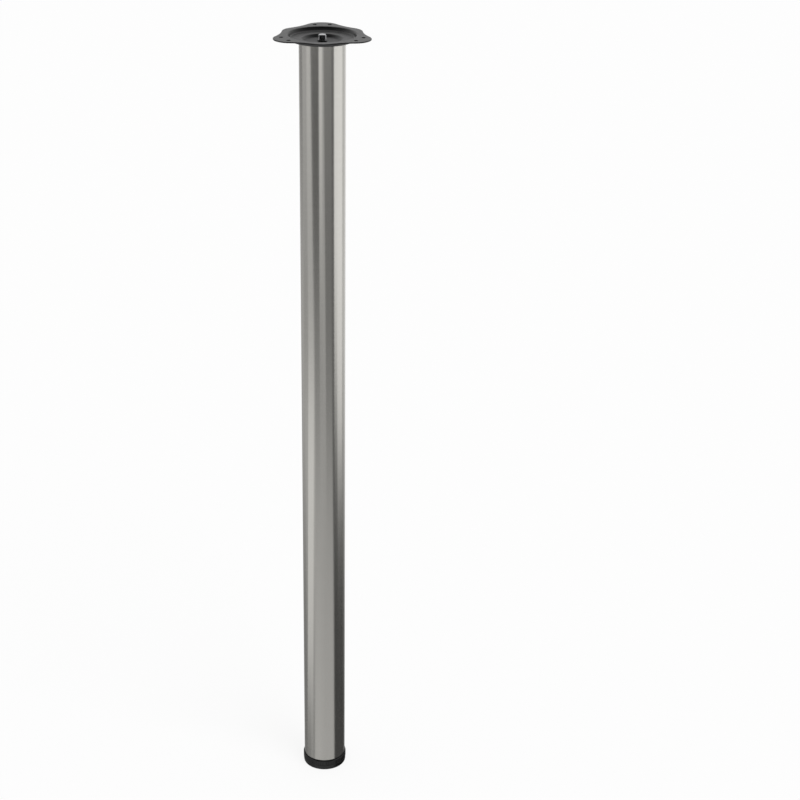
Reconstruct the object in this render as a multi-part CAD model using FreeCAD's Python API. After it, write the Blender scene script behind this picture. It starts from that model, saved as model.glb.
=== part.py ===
import FreeCAD, Part
import math
import os

# A tall round table leg with its mounting plate, in millimetres.
# +Z is up, the origin is on the floor at the middle of the foot, and one main lobe points to +Y.

# Leg
LEG_HEIGHT = 1100.0            # floor to the face that meets the table top
TUBE_DIAMETER = 60.0
TUBE_WALL = 1.0
TUBE_EDGE = 0.25               # deburring chamfer at both ends of the tube

# Mounting plate: pressed sheet, three main lobes with two screw holes each, three small lobes
SHEET = 1.5
BEND = 1.0                     # inside radius of the pressed bends
SEAT_BEND = 1.5                # inside radius at the foot of the dish's wall, which is drawn softer
PLATE_EDGE = 0.3               # chamfer along the blanked edge
DISH_DEPTH = 5.3               # table face down to the seat that the tube bears on
BOSS_DEPTH = 3.4               # seat down to the middle, which enters the tube
SEAT_MARGIN = 11.6             # how far the seat reaches outside the tube
DISH_SLOPE = 2.2               # how far the dish's wall leans outwards
BOSS_CLEARANCE = 2.9           # middle boss to the inside of the tube
BOSS_SLOPE = 4.2
RIM_TO_SCREWS = 11.2           # top of the dish's wall to the circle of the screw holes
SCREW_SPACING = 19.4           # between the two holes of one lobe
SCREW_HOLE = 5.6
LOBE_RADIUS = 22.5
LOBE_MARGIN = 13.0             # circle of the screw holes to the tip of a main lobe
SMALL_LOBE_RADIUS = 23.0
SMALL_LOBE_MARGIN = 12.2       # top of the dish's wall to the tip of a small lobe
WAIST_RADIUS = 72.0            # hollow curve between two lobes
NECK_WALL = 1.2                # drawn neck that holds the stud's thread
NECK_RISE = 1.5

# Thread and nuts, the same at both ends of the leg
THREAD = 10.0
THREAD_CLEARANCE = 0.05
THREAD_PITCH = 1.5
THREAD_CHAMFER = 0.5           # at both ends of a screw
NUT_FLATS = 17.0
NUT_HEIGHT = 8.0

# Upper end of the tube
CUP_GAP = 1.0                  # air between the plate's boss and the cup
CUP_SHEET = 2.0
CUP_SKIRT = 14.0
PRESS_CLEARANCE = 0.05
STUD_RECESS = 0.2              # the stud ends just below the table face
STUD_RUN_OUT = 3.0             # thread past a nut

# Plastic insert in the lower end of the tube
INSERT_FLANGE = 1.0
INSERT_DEPTH = 20.0
INSERT_WALL = 2.0
INSERT_RIBS = 6                # crush ribs that grip the tube
CRUSH_RIB = 0.6
CRUSH_RIB_RADIUS = 1.2
WEB_COUNT = 6
WEB_THICKNESS = 2.0
HUB_WALL = 3.0                 # plastic outside the corners of the nut
NUT_RECESS = 2.0
BORE_CLEARANCE = 0.5           # round the spindle, where no thread holds it

# Levelling foot
FOOT_TRAVEL = 20.0
FOOT_OVERHANG = 1.5            # foot proud of the tube
COLLAR_FLUTES = 60             # V grooves for the fingers
FLUTE_DEPTH = 0.35
FLUTE_WIDTH = 1.4
COLLAR_TOP_CHAMFER = 0.8
COLLAR_WEB = 2.0               # plastic above the spindle's hexagon
HEXAGON_HEIGHT = 5.1
PARTING_GAP = 0.3              # line between collar and sole
SOLE_DRAFT = 0.6
SOLE_ROUND = 1.0
SOLE_WALL = 3.0
SOLE_FLOOR = 2.5
SOLE_RECESS = 0.6              # hollow under the sole, so that it stands on its rim
SOLE_BEARING = 9.0             # width of the ring that the sole stands on
PIVOT_DIAMETER = 11.0          # button at the spindle's lower end
PIVOT_HEIGHT = 2.2
PIVOT_NECK = 8.0
PIVOT_CLEARANCE = 0.2
SOCKET_LIP = 1.6
SOCKET_DROP = 0.8              # top of the socket below the rim of the sole
SOCKET_WALL = 2.5
SOCKET_SLITS = 4
SLIT_WIDTH = 1.4
MOULD_ROUND = 0.3              # smallest rounding of a moulded or turned edge
ROUNDING_ERROR = 0.12          # how far the flats of a rounding may cut inside its arc
OVERCUT = 1.0                  # how far a cutting shape reaches past what it cuts

# Places and radii that follow from the sizes above
Z_AXIS = FreeCAD.Vector(0, 0, 1)
TUBE_RADIUS = TUBE_DIAMETER / 2
TUBE_BORE = TUBE_RADIUS - TUBE_WALL
THREAD_RADIUS = THREAD / 2
THREAD_BORE = THREAD_RADIUS + THREAD_CLEARANCE
CLEAR_BORE = THREAD_RADIUS + BORE_CLEARANCE
NUT_CORNER = NUT_FLATS / math.sqrt(3)

SEAT_Z = LEG_HEIGHT - DISH_DEPTH
TUBE_TOP = SEAT_Z - SHEET
BOSS_Z = SEAT_Z - BOSS_DEPTH
SEAT_RADIUS = TUBE_RADIUS + SEAT_MARGIN
DISH_RADIUS = SEAT_RADIUS + DISH_SLOPE
BOSS_RADIUS = TUBE_BORE - BOSS_CLEARANCE
SCREW_CIRCLE = DISH_RADIUS + RIM_TO_SCREWS
LOBE_REACH = SCREW_CIRCLE + LOBE_MARGIN
SMALL_LOBE_REACH = DISH_RADIUS + SMALL_LOBE_MARGIN
CUP_TOP = BOSS_Z - SHEET - CUP_GAP
WELD_NUT_BOTTOM = CUP_TOP - CUP_SHEET - NUT_HEIGHT

PIVOT_TOP = SOLE_FLOOR + PIVOT_HEIGHT
SOCKET_TOP = PIVOT_TOP + PIVOT_CLEARANCE + SOCKET_LIP
SOLE_TOP = SOCKET_TOP + SOCKET_DROP
COLLAR_BOTTOM = SOLE_TOP + PARTING_GAP
HEXAGON_BOTTOM = COLLAR_BOTTOM + PARTING_GAP
HEXAGON_TOP = HEXAGON_BOTTOM + HEXAGON_HEIGHT
COLLAR_TOP = HEXAGON_TOP + COLLAR_WEB
TUBE_BOTTOM = COLLAR_TOP + INSERT_FLANGE
FOOT_RADIUS = TUBE_RADIUS + FOOT_OVERHANG
INSERT_NUT_BOTTOM = COLLAR_TOP + NUT_RECESS
INSERT_TOP = TUBE_BOTTOM + INSERT_DEPTH
HUB_RADIUS = NUT_CORNER + HUB_WALL
SPINDLE_TOP = INSERT_NUT_BOTTOM + NUT_HEIGHT + FOOT_TRAVEL + STUD_RUN_OUT


def rounded_outline(corners):
    """Closed wire in the XZ plane from corners (r, z, rounding); a rounding of 0 is a sharp corner."""
    points = [FreeCAD.Vector(r, 0, z) for r, z, rounding in corners]
    outline = []
    for i, here in enumerate(points):
        rounding = corners[i][2]
        if rounding == 0:
            outline.append(here)
            continue
        back = (points[i - 1] - here).normalize()
        ahead = (points[(i + 1) % len(points)] - here).normalize()
        half_angle = back.getAngle(ahead) / 2
        reach = rounding / math.tan(half_angle)
        centre = here + (back + ahead).normalize() * (rounding / math.sin(half_angle))
        start = here + back * reach - centre
        end = here + ahead * reach - centre
        turn = math.pi - 2 * half_angle
        flat_turn = 2 * math.acos(1 - min(1, ROUNDING_ERROR / rounding))
        flats = math.ceil(turn / flat_turn)
        for step in range(flats + 1):
            done = turn * step / flats
            along_arc = start * math.sin(turn - done) + end * math.sin(done)
            outline.append(centre + along_arc * (1 / math.sin(turn)))
    return Part.makePolygon(outline + [outline[0]])


def turned(corners):
    """Solid of revolution about the leg's axis."""
    face = Part.Face(rounded_outline(corners))
    return face.revolve(FreeCAD.Vector(0, 0, 0), Z_AXIS, 360)


def sharp(*corners):
    """Corners (r, z) without rounding."""
    return [(r, z, 0) for r, z in corners]


def bent_sheet(path, thickness):
    """Corners of a sheet whose one face follows the path; its thickness is to the left.

    A stop on the path is (r, z, inside radius of its bend), with 0 for its two ends.
    """
    points = [FreeCAD.Vector(r, 0, z) for r, z, bend in path]
    steps = [(b - a).normalize() for a, b in zip(points, points[1:])]
    normals = [FreeCAD.Vector(-step.z, 0, step.x) for step in steps]
    near = [(points[0].x, points[0].z, 0)]
    first = points[0] + normals[0] * thickness
    far = [(first.x, first.z, 0)]
    for i in range(1, len(points) - 1):
        before = normals[i - 1]
        after = normals[i]
        offset = (before + after) * (thickness / (1 + before.dot(after)))
        corner = points[i] + offset
        bend = path[i][2]
        outside = bend + thickness if bend > 0 else 0
        turns_left = steps[i - 1].x * steps[i].z - steps[i - 1].z * steps[i].x > 0
        near.append((points[i].x, points[i].z, outside if turns_left else bend))
        far.append((corner.x, corner.z, bend if turns_left else outside))
    last = points[-1] + normals[-1] * thickness
    near.append((points[-1].x, points[-1].z, 0))
    far.append((last.x, last.z, 0))
    return near + far[::-1]


def cylinder(radius, bottom, top, x=0.0, y=0.0):
    return Part.makeCylinder(radius, top - bottom, FreeCAD.Vector(x, y, bottom), Z_AXIS)


def polar(radius, degrees, z=0.0):
    angle = math.radians(degrees)
    return FreeCAD.Vector(radius * math.cos(angle), radius * math.sin(angle), z)


def hexagon(flats, bottom, top):
    """Hexagonal prism with two flats facing +X and -X."""
    corners = [polar(flats / math.sqrt(3), 30 + 60 * i, bottom) for i in range(7)]
    face = Part.Face(Part.makePolygon(corners))
    return face.extrude(FreeCAD.Vector(0, 0, top - bottom))


def hexagon_nut(bottom):
    """Nut with its corners turned off at the lower end, flat above."""
    top = bottom + NUT_HEIGHT
    drop = (NUT_CORNER - NUT_FLATS / 2) * math.tan(math.radians(30))
    lathe = turned(sharp((0, bottom), (NUT_FLATS / 2, bottom), (NUT_CORNER, bottom + drop),
                         (NUT_CORNER, top), (0, top)))
    body = hexagon(NUT_FLATS, bottom, top).common(lathe)
    return body.cut(cylinder(THREAD_BORE, bottom - OVERCUT, top + OVERCUT))


def threaded_rod(bottom, top):
    """Thread as a plain rod of its outer diameter, chamfered at both ends."""
    end_radius = THREAD_RADIUS - THREAD_CHAMFER
    return turned(sharp((0, bottom), (end_radius, bottom), (THREAD_RADIUS, bottom + THREAD_CHAMFER),
                        (THREAD_RADIUS, top - THREAD_CHAMFER), (end_radius, top), (0, top)))


def tangent_circle():
    """Hollow curve that touches a main lobe, centred at 0 degrees, and a small lobe at 60 degrees."""
    lobe = polar(LOBE_REACH - LOBE_RADIUS, 0)
    small_lobe = polar(SMALL_LOBE_REACH - SMALL_LOBE_RADIUS, 60)
    to_lobe = LOBE_RADIUS + WAIST_RADIUS
    to_small_lobe = SMALL_LOBE_RADIUS + WAIST_RADIUS
    across = small_lobe - lobe
    span = across.Length
    along = (to_lobe ** 2 - to_small_lobe ** 2 + span ** 2) / (2 * span)
    aside = math.sqrt(to_lobe ** 2 - along ** 2)
    direction = across.normalize()
    outward = FreeCAD.Vector(direction.y, -direction.x, 0)
    centre = lobe + direction * along + outward * aside
    touch = centre + (lobe - centre) * (WAIST_RADIUS / to_lobe)
    small_touch = centre + (small_lobe - centre) * (WAIST_RADIUS / to_small_lobe)
    middle = (touch + small_touch) * 0.5 - centre
    waist = centre + middle.normalize() * WAIST_RADIUS
    return touch, waist, small_touch


def plate_outline(z):
    """Blanked outline: twelve tangent arcs, mirrored about every lobe."""
    radii_and_angles = [(p.Length, math.degrees(math.atan2(p.y, p.x))) for p in tangent_circle()]
    (touch, touch_at), (waist, waist_at), (small, small_at) = radii_and_angles
    edges = []
    for lobe_at in (90, 210, 330):
        stops = [(touch, -touch_at), (LOBE_REACH, 0), (touch, touch_at),
                 (waist, waist_at), (small, small_at), (SMALL_LOBE_REACH, 60),
                 (small, 120 - small_at), (waist, 120 - waist_at), (touch, 120 - touch_at)]
        points = [polar(radius, lobe_at + angle, z) for radius, angle in stops]
        for i in range(0, len(points) - 2, 2):
            edges.append(Part.Arc(points[i], points[i + 1], points[i + 2]).toShape())
    return Part.Wire(edges)


def screw_places():
    """Centres of the six screw holes, two on each main lobe."""
    half_angle = math.degrees(math.asin(SCREW_SPACING / 2 / SCREW_CIRCLE))
    return [polar(SCREW_CIRCLE, lobe + side * half_angle)
            for lobe in (90, 210, 330) for side in (-1, 1)]


def mounting_plate():
    """Blanked and pressed sheet: flat rim, dish with a seat, and a boss with a drawn neck."""
    below = LEG_HEIGHT - SHEET
    press_radius = DISH_RADIUS + BEND + SHEET
    neck_radius = THREAD_BORE + NECK_WALL
    blank = Part.Face(plate_outline(below)).extrude(FreeCAD.Vector(0, 0, SHEET))
    rim_edges = [edge for edge in blank.Edges
                 if abs(edge.Vertexes[0].Z - edge.Vertexes[-1].Z) < 1e-6]
    blank = blank.makeChamfer(min(PLATE_EDGE, SHEET / 3), rim_edges)
    blank = blank.cut(cylinder(press_radius, below - OVERCUT, LEG_HEIGHT + OVERCUT))
    path = [(press_radius, LEG_HEIGHT, 0), (DISH_RADIUS, LEG_HEIGHT, BEND), (SEAT_RADIUS, SEAT_Z, SEAT_BEND),
            (BOSS_RADIUS, SEAT_Z, BEND), (BOSS_RADIUS - BOSS_SLOPE, BOSS_Z, BEND), (THREAD_BORE, BOSS_Z, 0)]
    pressing = turned(bent_sheet(path, SHEET))
    neck = turned([(THREAD_BORE, BOSS_Z - SHEET, 0), (neck_radius, BOSS_Z - SHEET, 0),
                   (neck_radius, BOSS_Z + NECK_RISE, NECK_WALL / 3),
                   (THREAD_BORE, BOSS_Z + NECK_RISE, NECK_WALL / 3)])
    plate = blank.fuse([pressing, neck]).removeSplitter()
    holes = [cylinder(SCREW_HOLE / 2, below - OVERCUT, LEG_HEIGHT + OVERCUT, place.x, place.y)
             for place in screw_places()]
    return plate.cut(Part.makeCompound(holes))


def leg_tube():
    """Round steel tube from the foot's insert up to the plate's seat."""
    edge = min(TUBE_EDGE, TUBE_WALL / 3)
    return turned(sharp((TUBE_BORE, TUBE_BOTTOM), (TUBE_RADIUS - edge, TUBE_BOTTOM),
                        (TUBE_RADIUS, TUBE_BOTTOM + edge), (TUBE_RADIUS, TUBE_TOP - edge),
                        (TUBE_RADIUS - edge, TUBE_TOP), (TUBE_BORE, TUBE_TOP)))


def end_cup():
    """Pressed steel cup, skirt down, welded inside the upper end of the tube."""
    skirt_radius = TUBE_BORE - PRESS_CLEARANCE
    path = [(skirt_radius, CUP_TOP - CUP_SKIRT, 0), (skirt_radius, CUP_TOP, BEND),
            (THREAD_BORE, CUP_TOP, 0)]
    return turned(bent_sheet(path, CUP_SHEET))


def weld_nut():
    """Nut welded under the cup; the stud is screwed into it."""
    return hexagon_nut(WELD_NUT_BOTTOM)


def mounting_stud():
    """Headless screw that joins leg and plate."""
    return threaded_rod(WELD_NUT_BOTTOM - STUD_RUN_OUT, LEG_HEIGHT - STUD_RECESS)


def crush_ribs(sleeve_radius):
    """Half-round ribs down the outside of the insert, tapered off at the top by its lead-in."""
    ribs = []
    for i in range(INSERT_RIBS):
        place = polar(sleeve_radius + CRUSH_RIB - CRUSH_RIB_RADIUS, i * 360 / INSERT_RIBS)
        ribs.append(cylinder(CRUSH_RIB_RADIUS, TUBE_BOTTOM, INSERT_TOP - INSERT_WALL,
                             place.x, place.y))
    return ribs


def bottom_insert():
    """Moulded plug: flange under the tube, sleeve with crush ribs, webs and a hub for the nut."""
    sleeve_radius = TUBE_BORE - PRESS_CLEARANCE - CRUSH_RIB
    inside = sleeve_radius - INSERT_WALL
    floor = TUBE_BOTTOM + INSERT_WALL
    flange_round = min(MOULD_ROUND, INSERT_FLANGE / 3)
    shell = turned([(CLEAR_BORE, COLLAR_TOP, 0), (TUBE_RADIUS, COLLAR_TOP, flange_round),
                    (TUBE_RADIUS, TUBE_BOTTOM, 0), (sleeve_radius, TUBE_BOTTOM, 0),
                    (sleeve_radius, INSERT_TOP - INSERT_WALL, 0),
                    (sleeve_radius - CRUSH_RIB, INSERT_TOP, 0), (inside, INSERT_TOP, 0),
                    (inside, floor, 0), (HUB_RADIUS, floor, 0), (HUB_RADIUS, INSERT_TOP, 0),
                    (CLEAR_BORE, INSERT_TOP, 0)])
    webs = []
    for i in range(WEB_COUNT):
        web = Part.makeBox(inside - HUB_RADIUS + INSERT_WALL, WEB_THICKNESS,
                           INSERT_TOP - floor - INSERT_WALL,
                           FreeCAD.Vector(HUB_RADIUS - INSERT_WALL / 2, -WEB_THICKNESS / 2, floor))
        web.rotate(FreeCAD.Vector(0, 0, 0), Z_AXIS, 30 + i * 360 / WEB_COUNT)
        webs.append(web)
    plug = shell.fuse(webs + crush_ribs(sleeve_radius)).removeSplitter()
    pocket = hexagon(NUT_FLATS, COLLAR_TOP - OVERCUT, INSERT_NUT_BOTTOM + NUT_HEIGHT)
    return plug.cut(pocket)


def insert_nut():
    """Nut pressed into the insert from below, under the plastic that takes the load."""
    return hexagon_nut(INSERT_NUT_BOTTOM)


def foot_spindle():
    """Screw of the foot: thread, forged hexagon and a turned pivot button."""
    rod = threaded_rod(HEXAGON_BOTTOM, SPINDLE_TOP)
    grip = hexagon(NUT_FLATS, HEXAGON_BOTTOM, HEXAGON_TOP)
    neck = PIVOT_NECK / 2
    button = PIVOT_DIAMETER / 2
    pivot = turned([(0, SOLE_FLOOR, 0), (button, SOLE_FLOOR, MOULD_ROUND),
                    (button, PIVOT_TOP, MOULD_ROUND), (neck, PIVOT_TOP, 0),
                    (neck, HEXAGON_TOP, 0), (0, HEXAGON_TOP, 0)])
    return rod.fuse([grip, pivot]).removeSplitter()


def fluted_outline(z):
    """Collar's outline: V grooves between flat lands."""
    half_flute = math.degrees(FLUTE_WIDTH / 2 / FOOT_RADIUS)
    corners = []
    for i in range(COLLAR_FLUTES):
        middle = i * 360 / COLLAR_FLUTES
        corners.append(polar(FOOT_RADIUS, middle - half_flute, z))
        corners.append(polar(FOOT_RADIUS - FLUTE_DEPTH, middle, z))
        corners.append(polar(FOOT_RADIUS, middle + half_flute, z))
    return Part.makePolygon(corners + [corners[0]])


def foot_collar():
    """Fluted collar, moulded round the spindle's hexagon and turned by hand."""
    height = FreeCAD.Vector(0, 0, COLLAR_TOP - COLLAR_BOTTOM)
    fluted = Part.Face(fluted_outline(COLLAR_BOTTOM)).extrude(height)
    chamfer = COLLAR_TOP_CHAMFER
    lathe = turned(sharp((0, COLLAR_BOTTOM), (FOOT_RADIUS, COLLAR_BOTTOM),
                         (FOOT_RADIUS, COLLAR_TOP - chamfer), (FOOT_RADIUS - chamfer, COLLAR_TOP),
                         (0, COLLAR_TOP)))
    collar = fluted.common(lathe)
    pocket = hexagon(NUT_FLATS, COLLAR_BOTTOM - OVERCUT, HEXAGON_TOP)
    return collar.cut(pocket.fuse(cylinder(THREAD_RADIUS, COLLAR_BOTTOM, COLLAR_TOP + OVERCUT)))


def foot_sole():
    """Moulded sole that stays still on the floor; its slit socket snaps over the pivot button."""
    base_radius = FOOT_RADIUS - SOLE_DRAFT
    rim_radius = FOOT_RADIUS - SOLE_WALL
    recess_radius = base_radius - SOLE_ROUND - SOLE_BEARING
    socket = PIVOT_DIAMETER / 2 + PIVOT_CLEARANCE
    lip = PIVOT_NECK / 2 + PIVOT_CLEARANCE
    lip_bottom = PIVOT_TOP + PIVOT_CLEARANCE
    sole = turned([(0, SOLE_RECESS, 0), (recess_radius - SOLE_RECESS, SOLE_RECESS, 0),
                   (recess_radius, 0, 0), (base_radius, 0, SOLE_ROUND),
                   (FOOT_RADIUS, SOLE_TOP, MOULD_ROUND), (rim_radius, SOLE_TOP, 0),
                   (rim_radius, SOLE_FLOOR, 0), (socket + SOCKET_WALL, SOLE_FLOOR, 0),
                   (socket + SOCKET_WALL, SOCKET_TOP, 0), (lip, SOCKET_TOP, 0),
                   (lip, lip_bottom, 0), (socket, lip_bottom, 0), (socket, SOLE_FLOOR, 0),
                   (0, SOLE_FLOOR, 0)])
    slits = []
    for i in range(SOCKET_SLITS):
        slit = Part.makeBox(socket + SOCKET_WALL + OVERCUT, SLIT_WIDTH, SOCKET_TOP,
                            FreeCAD.Vector(0, -SLIT_WIDTH / 2, SOLE_FLOOR))
        slit.rotate(FreeCAD.Vector(0, 0, 0), Z_AXIS, i * 360 / SOCKET_SLITS)
        slits.append(slit)
    return sole.cut(slits)


def main():
    os.makedirs("parts", exist_ok=True)
    pieces = (mounting_plate, leg_tube, end_cup, weld_nut, mounting_stud, bottom_insert,
              insert_nut, foot_collar, foot_spindle, foot_sole)
    for make in pieces:
        shape = make()
        shape.exportStep("parts/" + make.__name__ + ".step")
        print(make.__name__, len(shape.Solids), "solid", round(shape.Volume), "mm3",
              "valid" if shape.isValid() else "NOT VALID")
    print("screw circle diameter", round(2 * SCREW_CIRCLE, 3))
    print("foot travel", FOOT_TRAVEL, "turns", round(FOOT_TRAVEL / THREAD_PITCH, 3))


main()
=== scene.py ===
# %% [markdown]
# # Dressing a steel table leg
# The leg was built as solids in a CAD program and arrives here as a fixed frame. This lesson gives
# every piece its finish, cuts the fine threads that the solids leave out, and sets up the studio.
# All lengths are in metres, and the leg stands on the floor at the origin with +Z up.

# %% Load the frame
import math

import bmesh
import bpy
from mathutils import Matrix, Vector


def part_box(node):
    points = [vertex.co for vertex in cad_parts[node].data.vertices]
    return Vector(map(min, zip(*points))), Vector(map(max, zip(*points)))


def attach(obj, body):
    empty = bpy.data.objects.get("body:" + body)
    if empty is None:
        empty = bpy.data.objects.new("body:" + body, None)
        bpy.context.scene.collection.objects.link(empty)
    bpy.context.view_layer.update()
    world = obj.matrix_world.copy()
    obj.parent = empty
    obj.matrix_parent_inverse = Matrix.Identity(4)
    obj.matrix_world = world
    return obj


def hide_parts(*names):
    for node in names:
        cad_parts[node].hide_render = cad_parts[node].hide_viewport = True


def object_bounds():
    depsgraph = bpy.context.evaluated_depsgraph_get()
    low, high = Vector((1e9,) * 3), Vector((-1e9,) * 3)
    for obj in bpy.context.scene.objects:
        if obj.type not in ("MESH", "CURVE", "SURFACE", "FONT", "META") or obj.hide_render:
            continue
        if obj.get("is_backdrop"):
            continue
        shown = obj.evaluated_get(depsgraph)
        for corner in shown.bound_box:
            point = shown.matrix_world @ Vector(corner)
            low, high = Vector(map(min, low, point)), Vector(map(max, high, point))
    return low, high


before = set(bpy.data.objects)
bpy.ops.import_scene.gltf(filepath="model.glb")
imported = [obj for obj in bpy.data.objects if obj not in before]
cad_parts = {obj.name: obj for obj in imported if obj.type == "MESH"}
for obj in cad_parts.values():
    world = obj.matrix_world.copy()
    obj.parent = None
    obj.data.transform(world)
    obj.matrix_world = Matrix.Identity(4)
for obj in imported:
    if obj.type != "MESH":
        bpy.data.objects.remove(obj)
cad_low, cad_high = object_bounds()
MM = 0.001
print("pieces:", ", ".join(sorted(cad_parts)))
print("height of the leg in mm:", round((cad_high.z - cad_low.z) / MM, 1))

# %% [markdown]
# ## The camera
# The photograph was taken from a standing person's height, about 2.3 m from the leg, so the plate is
# seen from a little above and the foot from well above. A long lens keeps the tube's sides almost
# parallel. The camera is turned by yaw, pitch and roll in that order, as on a tripod head.

# %% Place the camera
CAMERA_PLACE = Vector((0.0, -2.2736, 1.6195))
CAMERA_YAW = 2.656
CAMERA_PITCH = 24.281
CAMERA_ROLL = 0.903
LENS_MM = 81.40
FAR_CLIP = 100.0

camera_data = bpy.data.cameras.new("tripod_camera")
camera_data.lens = LENS_MM
camera_data.clip_end = FAR_CLIP
camera = bpy.data.objects.new("tripod_camera", camera_data)
bpy.context.scene.collection.objects.link(camera)
head = (
    Matrix.Rotation(-math.radians(CAMERA_YAW), 4, "Z")
    @ Matrix.Rotation(math.radians(90 - CAMERA_PITCH), 4, "X")
    @ Matrix.Rotation(math.radians(CAMERA_ROLL), 4, "Z")
)
camera.matrix_world = Matrix.Translation(CAMERA_PLACE) @ head
bpy.context.scene.camera = camera
bpy.context.scene.view_settings.view_transform = "Standard"
print("distance to the leg:", round(math.hypot(CAMERA_PLACE.x, CAMERA_PLACE.y), 2), "m")

# %% [markdown]
# ## Helpers for materials
# A colour picked on a screen is an sRGB hex value, while the renderer counts light in linear values,
# so one function turns the first into the second. Another adds any node with its settings and its
# links, which keeps each material below down to a few readable lines. A third reads a value off a
# scale of heights, for a card that is brighter at its top or for a painted reflection low on a coat.

# %% Colour and node helpers


def linear(hex_colour):
    """Linear RGBA of an sRGB hex colour such as '#808080'."""
    channels = []
    for start in (1, 3, 5):
        value = int(hex_colour[start : start + 2], 16) / 255
        channels.append(value / 12.92 if value <= 0.04045 else ((value + 0.055) / 1.055) ** 2.4)
    return (*channels, 1.0)


def add_node(tree, kind, inputs=None, **settings):
    """Adds a node. inputs gives each socket, by name or number, a value or another node's output."""
    made = tree.nodes.new(kind)
    for name, value in settings.items():
        setattr(made, name, value)
    for name, value in (inputs or {}).items():
        if isinstance(value, bpy.types.NodeSocket):
            tree.links.new(value, made.inputs[name])
        else:
            made.inputs[name].default_value = value
    return made


def new_material(name):
    """An empty node material and its tree."""
    material = bpy.data.materials.new(name)
    material.use_nodes = True
    material.node_tree.nodes.clear()
    return material, material.node_tree


def by_height(tree, stops):
    """Output of a ramp over an object's own height. A stop is (height, number or hex colour)."""
    place = add_node(tree, "ShaderNodeTexCoord")
    split = add_node(tree, "ShaderNodeSeparateXYZ", {0: place.outputs["Object"]})
    low, high = stops[0][0], stops[-1][0]
    height = add_node(tree, "ShaderNodeMapRange", {
        "Value": split.outputs["Z"], "From Min": low, "From Max": high,
    })
    ramp = add_node(tree, "ShaderNodeValToRGB", {0: height.outputs[0]})
    marks = ramp.color_ramp.elements
    while len(marks) < len(stops):
        marks.new(0.5)
    for mark, (level, value) in zip(marks, stops):
        mark.position = (level - low) / (high - low)
        mark.color = linear(value) if isinstance(value, str) else (value, value, value, 1.0)
    return ramp.outputs[0]


def finish_material(tree, surface):
    """Links the last shader to the material's output."""
    add_node(tree, "ShaderNodeOutputMaterial", {"Surface": surface})


def paint(material, *names):
    """Gives CAD pieces their material."""
    for name in names:
        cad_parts[name].material_slots[0].material = material
    print(material.name, "->", ", ".join(names))


WHITE = linear("#FFFFFF")
COLOUR_A, COLOUR_B, COLOUR_OUT = 6, 7, 2  # numbers of a Mix node's sockets for colours
print("mid grey #808080 is", round(linear("#808080")[0], 3), "in linear light")

# %% [markdown]
# ## The studio floor and the white surroundings
# A catalogue picture shows the leg on pure white. The floor is a pale sheet that still takes a soft
# shadow: towards the camera it is mixed with plain white light, so that it reads as paper white.
# The world does the same beyond the floor's edge, and it shows white in metal too. The sole stands
# on the floor, so the floor rides on the sole: when the foot is screwed out, the tube keeps its
# place in the frame and the floor goes down with the sole.

# %% Floor and world
FLOOR_SIZE = 30.0
FLOOR_GAP = 0.05 * MM  # keeps the floor's face apart from the sole's
FLOOR_WHITE = "#FAFAFA"
PAPER_SHARE = 0.85
WORLD_LIGHT = 0.65

floor_material, tree = new_material("white_paper_sweep")
rays = add_node(tree, "ShaderNodeLightPath")
paper = add_node(tree, "ShaderNodeBsdfDiffuse", {"Color": linear(FLOOR_WHITE)})
white = add_node(tree, "ShaderNodeEmission", {"Color": WHITE, "Strength": 1.0})
share = add_node(tree, "ShaderNodeMath", {
    0: rays.outputs["Is Camera Ray"], 1: PAPER_SHARE,
}, operation="MULTIPLY")
sweep = add_node(tree, "ShaderNodeMixShader", {0: share.outputs[0], 1: paper.outputs[0], 2: white.outputs[0]})
finish_material(tree, sweep.outputs[0])

bpy.ops.mesh.primitive_plane_add(size=FLOOR_SIZE, location=(0, 0, cad_low.z - FLOOR_GAP))
floor = bpy.context.object
floor.name = "paper_sweep"
floor.data.materials.append(floor_material)
floor.visible_glossy = False
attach(floor, "sole")
floor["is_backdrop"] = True

world = bpy.data.worlds.new("white_studio")
bpy.context.scene.world = world
world.use_nodes = True
tree = world.node_tree
tree.nodes.clear()
rays = add_node(tree, "ShaderNodeLightPath")
seen = rays.outputs["Is Camera Ray"]
for kind in ("Is Glossy Ray", "Is Transmission Ray"):
    seen = add_node(tree, "ShaderNodeMath", {0: seen, 1: rays.outputs[kind]}, operation="MAXIMUM").outputs[0]
strength = add_node(tree, "ShaderNodeMapRange", {"Value": seen, "To Min": WORLD_LIGHT, "To Max": 1.0})
sky = add_node(tree, "ShaderNodeBackground", {"Color": WHITE, "Strength": strength.outputs[0]})
add_node(tree, "ShaderNodeOutputWorld", {"Surface": sky.outputs[0]})
print("world light on matt surfaces:", WORLD_LIGHT)

# %% [markdown]
# ## The lamp
# Matt surfaces need little: one large soft lamp from the upper right gives the plate and the foot
# their form, and the white world fills the rest. A sun with a wide disc behaves as a very large
# softbox far away, so it lights the floor evenly. Together they light a white card to nearly full
# white. Gloss doesn't see the lamp, because the cards of the next step do that work.

# %% Soft lamp
LAMP_FROM = Vector((0.55, -0.6, 1.0))
LAMP_STRENGTH = 1.15
LAMP_WIDTH = 35

lamp_data = bpy.data.lights.new("far_softbox", "SUN")
lamp_data.energy = LAMP_STRENGTH
lamp_data.angle = math.radians(LAMP_WIDTH)
lamp = bpy.data.objects.new("far_softbox", lamp_data)
bpy.context.scene.collection.objects.link(lamp)
lamp.rotation_euler = LAMP_FROM.to_track_quat("Z", "Y").to_euler()
lamp.visible_glossy = False
print("lamp stands", round(math.degrees(LAMP_FROM.angle(Vector((0, 0, 1))))), "degrees from overhead")

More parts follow.
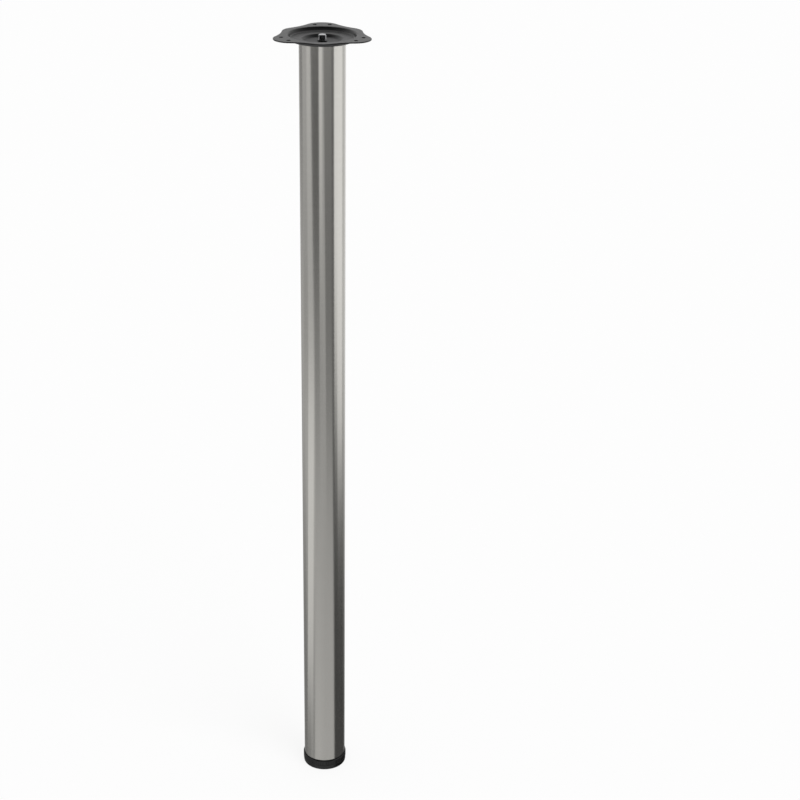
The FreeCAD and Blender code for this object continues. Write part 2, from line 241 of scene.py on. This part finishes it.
# %% [markdown]
# ## A tent of cards for the metal
# Polished and brushed metal shows almost nothing of its own: it shows what stands round it. A
# photographer therefore surrounds a metal tube with white and grey cards, out of the camera's view.
# Each card below is a strip of a cylinder round the leg, named by its place. Its edges are angles
# counted from the camera, positive to the right, and a bent edge has three: at its bottom, which is
# below the floor because reflections in the foot look down there, at a knee and at its top. Its
# brightness is given at a few heights. Only reflections see the cards, so they neither show in the
# picture nor light matt surfaces.

# %% Card material
TENT_RADIUS = 0.6
TENT_BOTTOM = -1.2
TENT_TOP = 1.15
TENT_KNEE = 0.3
CARD_STEPS = 8


def card_material(name, stops):
    """Glowing card whose brightness runs through the given (height, brightness) stops."""
    material, tree = new_material(name)
    glow = add_node(tree, "ShaderNodeEmission", {"Color": by_height(tree, stops), "Strength": 1.0})
    finish_material(tree, glow.outputs[0])
    return material


def only_in_reflections(thing):
    """A card or flag that metal and gloss can see, and nothing else."""
    thing.visible_camera = False
    thing.visible_diffuse = False
    thing.visible_transmission = False
    thing.visible_volume_scatter = False
    thing.visible_shadow = False
    thing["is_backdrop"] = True


print("tent radius", TENT_RADIUS, "m")

# %% Build the tent


def ring_point(radius, angle, z):
    """Point on a cylinder round the leg, at an angle from the camera in degrees."""
    turn = math.radians(angle)
    return (radius * math.sin(turn), -radius * math.cos(turn), z)


def card(name, start, end, *stops, radius=TENT_RADIUS, bottom=TENT_BOTTOM, top=TENT_TOP):
    """One strip of the tent. An edge is an angle, or its angles at the bottom, knee and top."""
    mesh = bpy.data.meshes.new(name)
    sheet = bmesh.new()
    start_angles = start if isinstance(start, tuple) else (start, start, start)
    end_angles = end if isinstance(end, tuple) else (end, end, end)
    columns = []
    for step in range(CARD_STEPS + 1):
        share = step / CARD_STEPS
        column = []
        for first, last, z in zip(start_angles, end_angles, (bottom, TENT_KNEE, top)):
            column.append(sheet.verts.new(ring_point(radius, first + (last - first) * share, z)))
        columns.append(column)
    for column, after in zip(columns, columns[1:]):
        for row in (0, 1):
            sheet.faces.new((column[row], after[row], after[row + 1], column[row + 1]))
    sheet.to_mesh(mesh)
    sheet.free()
    mesh.materials.append(card_material(name, stops))
    strip = bpy.data.objects.new(name, mesh)
    bpy.context.scene.collection.objects.link(strip)
    only_in_reflections(strip)
    print(name, "from", start, "to", end)


card("back_left_wall", -180, -148, (-0.36, 0.38), (-0.1, 0.36), (0.35, 0.38), (0.9, 0.57))
card("left_shade", -148, -115, (-0.3, 0.21), (-0.05, 0.25), (0.3, 0.48), (0.55, 0.47), (0.9, 0.29))
card("left_wall", -115, -84,
     (-0.35, 0.22), (-0.12, 0.30), (0.03, 0.43), (0.28, 0.57), (0.5, 0.38), (0.85, 0.48))
card("left_panel", -84, (-73, -43, -64),
     (-0.35, 0.31), (-0.1, 0.48), (0.2, 0.60), (0.6, 0.50), (0.9, 0.64))
card("left_dark_card", (-73, -43, -64), -18, (-0.3, 0.56), (0.1, 0.51), (0.35, 0.36), (0.65, 0.16))
card("front_strip_light", -18, -2, (-0.3, 0.54), (0.25, 0.46), (0.5, 0.37), (0.95, 0.86))
card("front_grey_card", -2, (14, 14, 3), (-0.3, 0.52), (0.3, 0.43), (0.95, 0.50))
card("right_grey_card", (14, 14, 3), (67, 47, 43),
     (-0.3, 0.52), (0.12, 0.46), (0.36, 0.28), (0.6, 0.19), (0.9, 0.28))
card("right_dark_card", (67, 47, 43), 57, (-0.3, 0.36), (0.0, 0.28), (0.2, 0.16), (0.9, 0.15))
card("softbox_near_side", 57, 76, (0.0, 0.07), (0.24, 0.17), (0.45, 0.70), (0.66, 0.98))
card("softbox_far_side", 76, 113, (0.0, 0.07), (0.12, 0.16), (0.33, 0.86), (0.6, 1.0))
card("softbox_shade", 113, (143, 133, 130), (-0.3, 0.06), (0.05, 0.11), (0.35, 0.50), (0.5, 0.64))
card("right_wall", (143, 133, 130), 150, (-0.3, 0.15), (-0.08, 0.24), (0.15, 0.44), (0.4, 0.66), (0.6, 0.74))
card("back_right_wall", 150, 180, (-0.36, 0.30), (-0.2, 0.34), (-0.03, 0.50), (0.15, 0.66), (0.4, 0.93))
card("left_lamp_panel", (-107, -89, -82), (-66, -51, -46),
     (-0.25, 0.58), (-0.05, 0.79), (0.3, 0.87), (0.45, 0.62), radius=0.58, bottom=-0.25, top=0.45)

# %% [markdown]
# ## A black flag overhead
# The pressed plate is satin black. Where it lies flat, it mirrors the white room behind it. The wall
# of its dish leans back and mirrors the ceiling, and the photograph shows it almost black, so the
# ceiling there is dark. A wide flag hung over the set and out over the camera does that, and again
# only reflections see it.

# %% Hang the flag
FLAG_HEIGHT = 2.3
FLAG_BACK = 0.7
FLAG_FRONT = -4.2
FLAG_LEFT = -2.4
FLAG_RIGHT = 3.0
FLAG_BRIGHTNESS = 0.03

flag_material, tree = new_material("black_velvet_flag")
glow = add_node(tree, "ShaderNodeEmission", {"Color": WHITE, "Strength": FLAG_BRIGHTNESS})
finish_material(tree, glow.outputs[0])
cloth = bmesh.new()
corners = (
    (FLAG_LEFT, FLAG_FRONT), (FLAG_RIGHT, FLAG_FRONT),
    (FLAG_RIGHT, FLAG_BACK), (FLAG_LEFT, FLAG_BACK),
)
cloth.faces.new([cloth.verts.new((x, y, FLAG_HEIGHT)) for x, y in corners])
flag_mesh = bpy.data.meshes.new("ceiling_flag")
cloth.to_mesh(flag_mesh)
cloth.free()
flag_mesh.materials.append(flag_material)
flag = bpy.data.objects.new("ceiling_flag", flag_mesh)
bpy.context.scene.collection.objects.link(flag)
only_in_reflections(flag)
print("flag hangs", FLAG_HEIGHT, "m up")

# %% [markdown]
# ## Brushed nickel on steel tube
# The tube is drawn steel with a nickel plating that was brushed while the tube turned, so its
# scratches run round it. Scratches spread a reflection across themselves: along the tube here. A
# metal needs only its base colour and roughness, and the anisotropy says how much more it spreads
# along the tube than round it. The scratches themselves are 0.3 mm apart and too fine to show, so
# they are drawn 0.9 mm apart, as a faint change of roughness and height.

# %% Brushed nickel
NICKEL = "#D6D4CF"
NICKEL_SHADE = "#CDCBC5"
SCRATCH_SPACING = 0.9 * MM
SCRATCH_LENGTH = 40 * MM
SCRATCH_DEPTH = 0.05 * MM
SCRATCH_SHARE = 0.05  # how much of that depth the light follows
NICKEL_ROUGHNESS = (0.19, 0.27)
NICKEL_SPREAD = 0.85  # anisotropy
QUARTER_TURN = 0.25  # turns the spread from round the tube to along it

nickel, tree = new_material("brushed_nickel_plate")
place = add_node(tree, "ShaderNodeTexCoord")
stretch = add_node(tree, "ShaderNodeMapping", {
    "Vector": place.outputs["Object"],
    "Scale": (1 / SCRATCH_LENGTH, 1 / SCRATCH_LENGTH, 1 / SCRATCH_SPACING),
})
noise = add_node(tree, "ShaderNodeTexNoise", {"Vector": stretch.outputs[0], "Scale": 1.0, "Detail": 3.0})
scratches = noise.outputs["Fac"]
tone = add_node(tree, "ShaderNodeMix", {
    "Factor": scratches, COLOUR_A: linear(NICKEL_SHADE), COLOUR_B: linear(NICKEL),
}, data_type="RGBA")
roughness = add_node(tree, "ShaderNodeMapRange", {
    "Value": scratches, "To Min": NICKEL_ROUGHNESS[0], "To Max": NICKEL_ROUGHNESS[1],
})
relief = add_node(tree, "ShaderNodeBump", {
    "Height": scratches, "Strength": SCRATCH_SHARE, "Distance": SCRATCH_DEPTH,
})
around = add_node(tree, "ShaderNodeTangent", direction_type="RADIAL", axis="Z")
metal = add_node(tree, "ShaderNodeBsdfPrincipled", {
    "Base Color": tone.outputs[COLOUR_OUT], "Metallic": 1.0, "Roughness": roughness.outputs[0],
    "Anisotropic": NICKEL_SPREAD, "Anisotropic Rotation": QUARTER_TURN,
    "Normal": relief.outputs[0], "Tangent": around.outputs[0],
})
finish_material(tree, metal.outputs[0])
paint(nickel, "leg_tube")

# %% [markdown]
# ## Black coating on the pressed plate
# The plate is cut and pressed from 1.5 mm steel and then coated black, with a low satin gloss. Such
# a coating dries with a fine orange peel, about a millimetre from bump to bump. Seen as flatly as
# here it mirrors the white room behind it, which is why black steel looks grey from this height.
# Where the dish's wall meets its floor the coat is rougher, and a lighter grey band is painted into
# its colour there: a painted reflection on the foot of the wall, where it bends into the floor.
# Tone and roughness are given at heights in mm, measured down from the table face.

# %% Black coated steel
COAT_BLACK = "#0C0C0C"
# The two greys below paint a reflection onto the foot of the dish's wall, where it bends into the floor.
COAT_PAINTED_SHEEN_EDGE = "#272727"
COAT_PAINTED_SHEEN = "#424242"
COAT_TONE_WITH_PAINTED_SHEEN = (
    (-5.6, COAT_BLACK), (-5.35, COAT_PAINTED_SHEEN_EDGE), (-5.2, COAT_PAINTED_SHEEN), (-4.7, COAT_PAINTED_SHEEN), (-3.8, COAT_BLACK),
)
COAT_ROUGHNESS = ((-5.0, 0.46), (-3.5, 0.40))
COAT_IOR = 1.5
CLOUD_SIZE = 25 * MM
CLOUD_ROUGHNESS = 0.03
ORANGE_PEEL = 1.1 * MM
PEEL_DEPTH = 0.1 * MM
PEEL_SHARE = 0.12
COATED_EDGE = 1.5 * MM  # how softly the coat runs over an edge

coating, tree = new_material("black_coated_steel_sheet")
place = add_node(tree, "ShaderNodeTexCoord")
peel, cloud = (
    add_node(tree, "ShaderNodeTexNoise", {
        "Vector": place.outputs["Object"], "Scale": 1 / size, "Detail": 2.0,
    }).outputs["Fac"]
    for size in (ORANGE_PEEL, CLOUD_SIZE)
)
# Tone over height, which carries the painted reflection band, and roughness over height.
tone, satin = (
    by_height(tree, [(cad_high.z + depth * MM, value) for depth, value in stops])
    for stops in (COAT_TONE_WITH_PAINTED_SHEEN, COAT_ROUGHNESS)
)
uneven = add_node(tree, "ShaderNodeMapRange", {
    "Value": cloud, "To Min": -CLOUD_ROUGHNESS, "To Max": CLOUD_ROUGHNESS,
})
roughness = add_node(tree, "ShaderNodeMath", {0: satin, 1: uneven.outputs[0]}, operation="ADD")
edges = add_node(tree, "ShaderNodeBevel", {"Radius": COATED_EDGE}, samples=6)
relief = add_node(tree, "ShaderNodeBump", {
    "Height": peel, "Strength": PEEL_SHARE, "Distance": PEEL_DEPTH, "Normal": edges.outputs[0],
})
coat = add_node(tree, "ShaderNodeBsdfPrincipled", {
    "Base Color": tone, "Roughness": roughness.outputs[0], "IOR": COAT_IOR, "Normal": relief.outputs[0],
})
finish_material(tree, coat.outputs[0])
paint(coating, "mounting_plate")

# %% [markdown]
# ## Black moulded plastics of the foot
# The collar and the insert are moulded in nylon from a mould that was spark-eroded, which leaves an
# even, sandy texture of about 0.3 mm. It is drawn at 0.6 mm, so that it can be seen at all. The sole
# is a softer polyethylene, a little duller. Both are nearly black.

# %% Moulded plastics
NYLON = "#070707"
SOLE_PLASTIC = "#060606"
NYLON_ROUGHNESS = (0.22, 0.32)
SOLE_ROUGHNESS = (0.26, 0.36)
PLASTIC_IOR = 1.53
SPARK_GRAIN = 0.6 * MM
GRAIN_DEPTH = 0.05 * MM
GRAIN_SHARE = 0.25


def moulded_plastic(name, colour, roughness):
    """Black plastic with the even grain of a spark-eroded mould."""
    material, tree = new_material(name)
    place = add_node(tree, "ShaderNodeTexCoord")
    grain = add_node(tree, "ShaderNodeTexNoise", {
        "Vector": place.outputs["Object"], "Scale": 1 / SPARK_GRAIN, "Detail": 2.0,
    }).outputs["Fac"]
    gloss = add_node(tree, "ShaderNodeMapRange", {
        "Value": grain, "To Min": roughness[0], "To Max": roughness[1],
    })
    relief = add_node(tree, "ShaderNodeBump", {
        "Height": grain, "Strength": GRAIN_SHARE, "Distance": GRAIN_DEPTH,
    })
    plastic = add_node(tree, "ShaderNodeBsdfPrincipled", {
        "Base Color": linear(colour), "Roughness": gloss.outputs[0], "IOR": PLASTIC_IOR,
        "Normal": relief.outputs[0],
    })
    finish_material(tree, plastic.outputs[0])
    return material


paint(moulded_plastic("black_moulded_nylon", NYLON, NYLON_ROUGHNESS), "foot_collar", "bottom_insert")
paint(moulded_plastic("black_polyethylene_sole", SOLE_PLASTIC, SOLE_ROUGHNESS), "foot_sole")

# %% [markdown]
# ## Bare and zinc-plated steel
# The cup and the nut welded under it stay bare: dull, slightly uneven rolled steel. The screws and
# the foot's nut are zinc plated, which is brighter and an almost neutral grey.

# %% Bare steel and zinc
ROLLED_STEEL = "#8E8C88"
ROLLED_STEEL_DARK = "#6F6C68"
ZINC = "#BEBFC0"
ZINC_SHADE = "#9C9D9E"
ROLLED_PATCH = 8 * MM
ZINC_PATCH = 4 * MM
ROLLED_ROUGHNESS = (0.4, 0.6)
ZINC_ROUGHNESS = (0.22, 0.36)


def plain_metal(name, colour, shade, patch, roughness):
    """Metal whose tone and gloss drift over patches of the given size."""
    material, tree = new_material(name)
    place = add_node(tree, "ShaderNodeTexCoord")
    drift = add_node(tree, "ShaderNodeTexNoise", {
        "Vector": place.outputs["Object"], "Scale": 1 / patch, "Detail": 4.0,
    }).outputs["Fac"]
    tone = add_node(tree, "ShaderNodeMix", {
        "Factor": drift, COLOUR_A: linear(shade), COLOUR_B: linear(colour),
    }, data_type="RGBA")
    gloss = add_node(tree, "ShaderNodeMapRange", {
        "Value": drift, "To Min": roughness[0], "To Max": roughness[1],
    })
    metal = add_node(tree, "ShaderNodeBsdfPrincipled", {
        "Base Color": tone.outputs[COLOUR_OUT], "Metallic": 1.0, "Roughness": gloss.outputs[0],
    })
    finish_material(tree, metal.outputs[0])
    return material


rolled_steel = plain_metal(
    "bare_rolled_steel", ROLLED_STEEL, ROLLED_STEEL_DARK, ROLLED_PATCH, ROLLED_ROUGHNESS
)
zinc = plain_metal("zinc_plated_steel", ZINC, ZINC_SHADE, ZINC_PATCH, ZINC_ROUGHNESS)
paint(rolled_steel, "end_cup", "weld_nut")
paint(zinc, "insert_nut")

# %% [markdown]
# ## Cutting the threads
# The solids carry a plain rod where the real screws have an M10 thread with a pitch of 1.5 mm. A
# thread could be a bump, but its outline shows in the dish, so it is real geometry. Rings of points
# climb one pitch in each turn, with four points to a pitch: two on the crest and two in the root.
# The seam joins each ring to the one a pitch higher, so the surface is one unbroken helix. It is made
# too long, narrowed to a chamfer at both ends, and then cut off flat, as on a lathe.

# %% Thread geometry
PITCH = 1.5 * MM
THREAD_DEPTH = 0.92 * MM
END_CHAMFER = 0.5 * MM
THREAD_POINTS = ((0.0, 0.0), (0.125, 0.0), (0.4375, 1.0), (0.6875, 1.0))  # share of pitch, of depth
TURN_STEPS = 48
SPARE_PITCHES = 2  # cut off again at each end
WELD_DISTANCE = 0.002 * MM
SMOOTH_ANGLE = 35


def add_thread(body, radius, bottom, top):
    """Adds a closed threaded rod on the leg's axis to a bmesh."""
    points = len(THREAD_POINTS)
    count = points * (math.ceil((top - bottom) / PITCH) + 2 * SPARE_PITCHES - 1)
    end_radius = radius - END_CHAMFER
    rings = []
    for step in range(TURN_STEPS):
        angle = 2 * math.pi * step / TURN_STEPS
        column = []
        for index in range(count + points):
            share, sunk = THREAD_POINTS[index % points]
            z = bottom + PITCH * (index // points - SPARE_PITCHES + share + step / TURN_STEPS)
            r = min(radius - sunk * THREAD_DEPTH, end_radius + (z - bottom), end_radius + (top - z))
            column.append(body.verts.new((r * math.cos(angle), r * math.sin(angle), z)))
        rings.append(column)
    for step, column in enumerate(rings):
        beside = rings[0][points:] if step + 1 == TURN_STEPS else rings[step + 1]
        for index in range(count - 1):
            body.faces.new((column[index], beside[index], beside[index + 1], column[index + 1]))
    for height, side in ((bottom, -1), (top, 1)):
        everything = body.verts[:] + body.edges[:] + body.faces[:]
        bmesh.ops.bisect_plane(
            body, geom=everything, plane_co=(0, 0, height), plane_no=(0, 0, side), clear_outer=True
        )
    bmesh.ops.remove_doubles(body, verts=body.verts, dist=WELD_DISTANCE)
    bmesh.ops.holes_fill(body, edges=[edge for edge in body.edges if edge.is_boundary], sides=0)
    bmesh.ops.recalc_face_normals(body, faces=body.faces)


def screw_piece(name, body, material, cad_node, body_name):
    """Turns a bmesh into a piece that stands for a CAD node."""
    open_edges = sum(1 for edge in body.edges if not edge.is_manifold)
    mesh = bpy.data.meshes.new(name)
    body.to_mesh(mesh)
    body.free()
    mesh.shade_smooth()
    mesh.set_sharp_from_angle(angle=math.radians(SMOOTH_ANGLE))
    mesh.materials.append(material)
    piece = bpy.data.objects.new(name, mesh)
    bpy.context.scene.collection.objects.link(piece)
    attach(piece, body_name)
    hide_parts(cad_node)
    print(name, "has", len(mesh.polygons), "faces and", open_edges, "open edges")


# %% Mounting stud
stud_low, stud_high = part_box("mounting_stud")
thread_radius = stud_high.x  # the stud and the foot's spindle are both M10
stud = bmesh.new()
add_thread(stud, thread_radius, stud_low.z, stud_high.z)
screw_piece("threaded_stud", stud, zinc, "mounting_stud", "leg")

# %% [markdown]
# ## The foot's spindle
# Below its thread the spindle has a forged hexagon, round which the collar is moulded, and under it
# a turned neck and button that snap into the sole. They are plain prisms and rings, stacked from the
# sizes of the frame.

# %% Foot spindle
HEXAGON_FLATS = 17 * MM
HEXAGON_ABOVE_COLLAR_BOTTOM = 0.3 * MM
COLLAR_OVER_HEXAGON = 2.0 * MM
HEXAGON_TURN = 30
BUTTON_RADIUS = 5.5 * MM
BUTTON_HEIGHT = 2.2 * MM
BUTTON_CHAMFER = 0.3 * MM
NECK_RADIUS = 4.0 * MM
NECK_IN_HEXAGON = 0.5 * MM
ROUND_STEPS = 48


def add_lathe(body, outline, steps, turn=0.0):
    """Adds a closed solid turned about the leg's axis from (radius, height) points, bottom to top."""
    rings = []
    for radius, z in outline:
        ring = []
        for step in range(steps):
            angle = turn + 2 * math.pi * step / steps
            ring.append(body.verts.new((radius * math.cos(angle), radius * math.sin(angle), z)))
        rings.append(ring)
    for lower, upper in zip(rings, rings[1:]):
        for step in range(steps):
            after = (step + 1) % steps
            body.faces.new((lower[step], lower[after], upper[after], upper[step]))
    body.faces.new(rings[0][::-1])
    body.faces.new(rings[-1])


spindle_low, spindle_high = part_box("foot_spindle")
collar_low, collar_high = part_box("foot_collar")
hexagon_bottom = collar_low.z + HEXAGON_ABOVE_COLLAR_BOTTOM
hexagon_top = collar_high.z - COLLAR_OVER_HEXAGON
hexagon_corner = HEXAGON_FLATS / math.sqrt(3)
button_top = spindle_low.z + BUTTON_HEIGHT

spindle = bmesh.new()
add_thread(spindle, thread_radius, hexagon_top - PITCH, spindle_high.z)
add_lathe(spindle, [(hexagon_corner, hexagon_bottom), (hexagon_corner, hexagon_top)],
          6, math.radians(HEXAGON_TURN))
add_lathe(spindle, [
    (BUTTON_RADIUS - BUTTON_CHAMFER, spindle_low.z), (BUTTON_RADIUS, spindle_low.z + BUTTON_CHAMFER),
    (BUTTON_RADIUS, button_top - BUTTON_CHAMFER), (BUTTON_RADIUS - BUTTON_CHAMFER, button_top),
    (NECK_RADIUS, button_top), (NECK_RADIUS, hexagon_bottom + NECK_IN_HEXAGON),
], ROUND_STEPS)
screw_piece("levelling_spindle", spindle, zinc, "foot_spindle", "levelling_screw")

# %% [markdown]
# ## Measuring and finishing
# The looks should not change the size of the part, so the box of everything drawn is set beside the
# box of the CAD pieces, and the last line prints how far each side lies apart, in mm.

# %% Compare the boxes and finish
low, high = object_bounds()
past = [round((a - b) / MM, 3) for a, b in zip((*low, *high), (*cad_low, *cad_high))]
print("visual model against CAD, in mm:", past)
